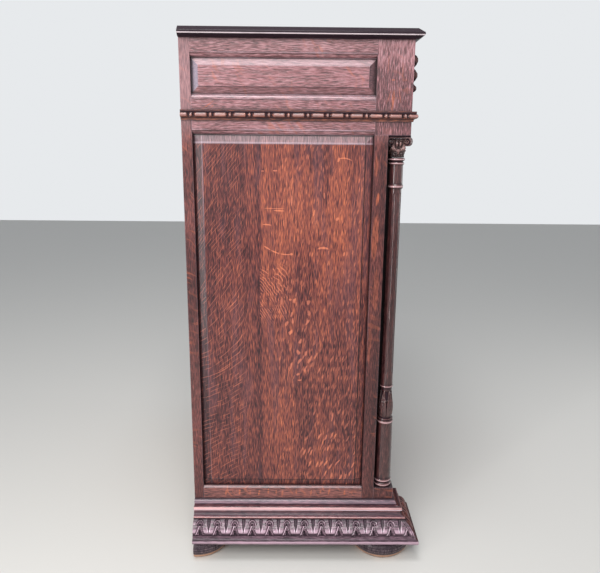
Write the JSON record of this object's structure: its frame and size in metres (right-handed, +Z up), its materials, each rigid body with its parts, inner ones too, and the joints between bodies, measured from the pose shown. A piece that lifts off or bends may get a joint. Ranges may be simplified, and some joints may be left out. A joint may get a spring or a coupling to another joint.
{
  "type": "cabinet",
  "caption": "Tall oak cabinet with a drawer over a panelled door, free-standing corner columns, carved mouldings and a stepped plinth on bun feet.",
  "frame": {"origin": "on the floor, under the middle of the plinth's outline", "axes": "+Z up, -Y to the front with the door and drawer, +X to the right of someone facing the front"},
  "size_m": [0.922, 0.571, 1.277],
  "materials": {
    "oak_frame": "satin stain",
    "oak_panel": "satin stain",
    "oak_moulding": "satin stain",
    "oak_carved": "satin stain",
    "oak_column": "satin stain",
    "oak_foot": "satin stain",
    "oak_top": "polished stain",
    "oak_inside": "bare oak",
    "brass": "aged",
    "iron": "dark iron"
  },
  "bodies": {
    "carcass": {"top_board": "oak_top", "rear_stiles": "oak_frame", "front_stiles": "oak_frame", "frieze_blocks": "oak_frame", "side_top_rails": "oak_frame", "side_middle_rails": "oak_frame", "side_bottom_rails": "oak_frame", "frieze_panels": "oak_panel", "side_panels": "oak_panel", "panel_strips": "oak_moulding", "bead_moulding_sides": "oak_moulding", "bead_moulding_front": "oak_moulding", "frieze_ornaments": "oak_carved", "capitals": "oak_carved", "columns": "oak_column", "pedestals": "oak_frame", "plinth_base_sides": "oak_moulding", "plinth_base_front": "oak_moulding", "plinth_cap_sides": "oak_moulding", "plinth_cap_front": "oak_moulding", "plinth_side_boards": "oak_inside", "plinth_front_board": "oak_inside", "plinth_rear_board": "oak_inside", "front_feet": "oak_foot", "rear_feet": "oak_foot", "front_bottom_rail": "oak_frame", "drawer_rail": "oak_frame", "front_top_rail": "oak_frame", "bottom_board": "oak_inside", "bottom_cleats": "oak_inside", "shelf": "oak_inside", "shelf_cleats": "oak_inside", "back_rails": "oak_inside", "back_muntin": "oak_inside", "back_panels": "oak_inside", "drawer_runners": "oak_inside", "drawer_guides": "oak_inside", "drawer_kickers": "oak_inside", "dust_board": "oak_inside", "door_stops": "oak_inside", "hinge_leaves_stile": "brass", "hinge_pins": "brass", "strike_plate": "brass"},
    "door": {"door_hinge_stile": "oak_frame", "door_lock_stile": "oak_frame", "door_rails": "oak_frame", "door_panel": "oak_panel", "door_mouldings": "oak_moulding", "hinge_leaves_door": "brass", "lock_case": "iron", "key_plate": "brass"},
    "lock_bolt": {"lock_bolt": "iron"},
    "door_key": {"door_key": "iron"},
    "drawer": {"drawer_front": "oak_panel", "drawer_sides": "oak_inside", "drawer_back": "oak_inside", "drawer_bottom": "oak_inside", "pull_posts": "brass"},
    "pull_left": {"pull_left": "brass"},
    "pull_right": {"pull_right": "brass"}
  },
  "joints": [
    {"name": "door_swing", "type": "hinge", "parent": "carcass", "child": "door", "pos_m": [0.33925, -0.1795, 0.625], "axis": [0, 0, 1], "range_deg": [0, 95]},
    {"name": "key_turn", "type": "hinge", "parent": "door", "child": "door_key", "pos_m": [-0.3085, -0.1745, 0.625], "axis": [0, 1, 0], "range_deg": [0, 360]},
    {"name": "bolt_slide", "type": "slide", "parent": "door", "child": "lock_bolt", "axis": [-1, 0, 0], "range_m": [0, 0.01]},
    {"name": "drawer_slide", "type": "slide", "parent": "carcass", "child": "drawer", "axis": [0, -1, 0], "range_m": [0, 0.33]},
    {"name": "pull_left_swing", "type": "hinge", "parent": "drawer", "child": "pull_left", "pos_m": [-0.165, -0.2285, 1.18058], "axis": [-1, 0, 0], "range_deg": [-8, 95]},
    {"name": "pull_right_swing", "type": "hinge", "parent": "drawer", "child": "pull_right", "pos_m": [0.165, -0.2285, 1.18058], "axis": [-1, 0, 0], "range_deg": [-8, 95]}
  ],
  "couplings": [
    {"joint": "bolt_slide", "follows": "key_turn", "m_per_rad": 0.0015915}
  ]
}
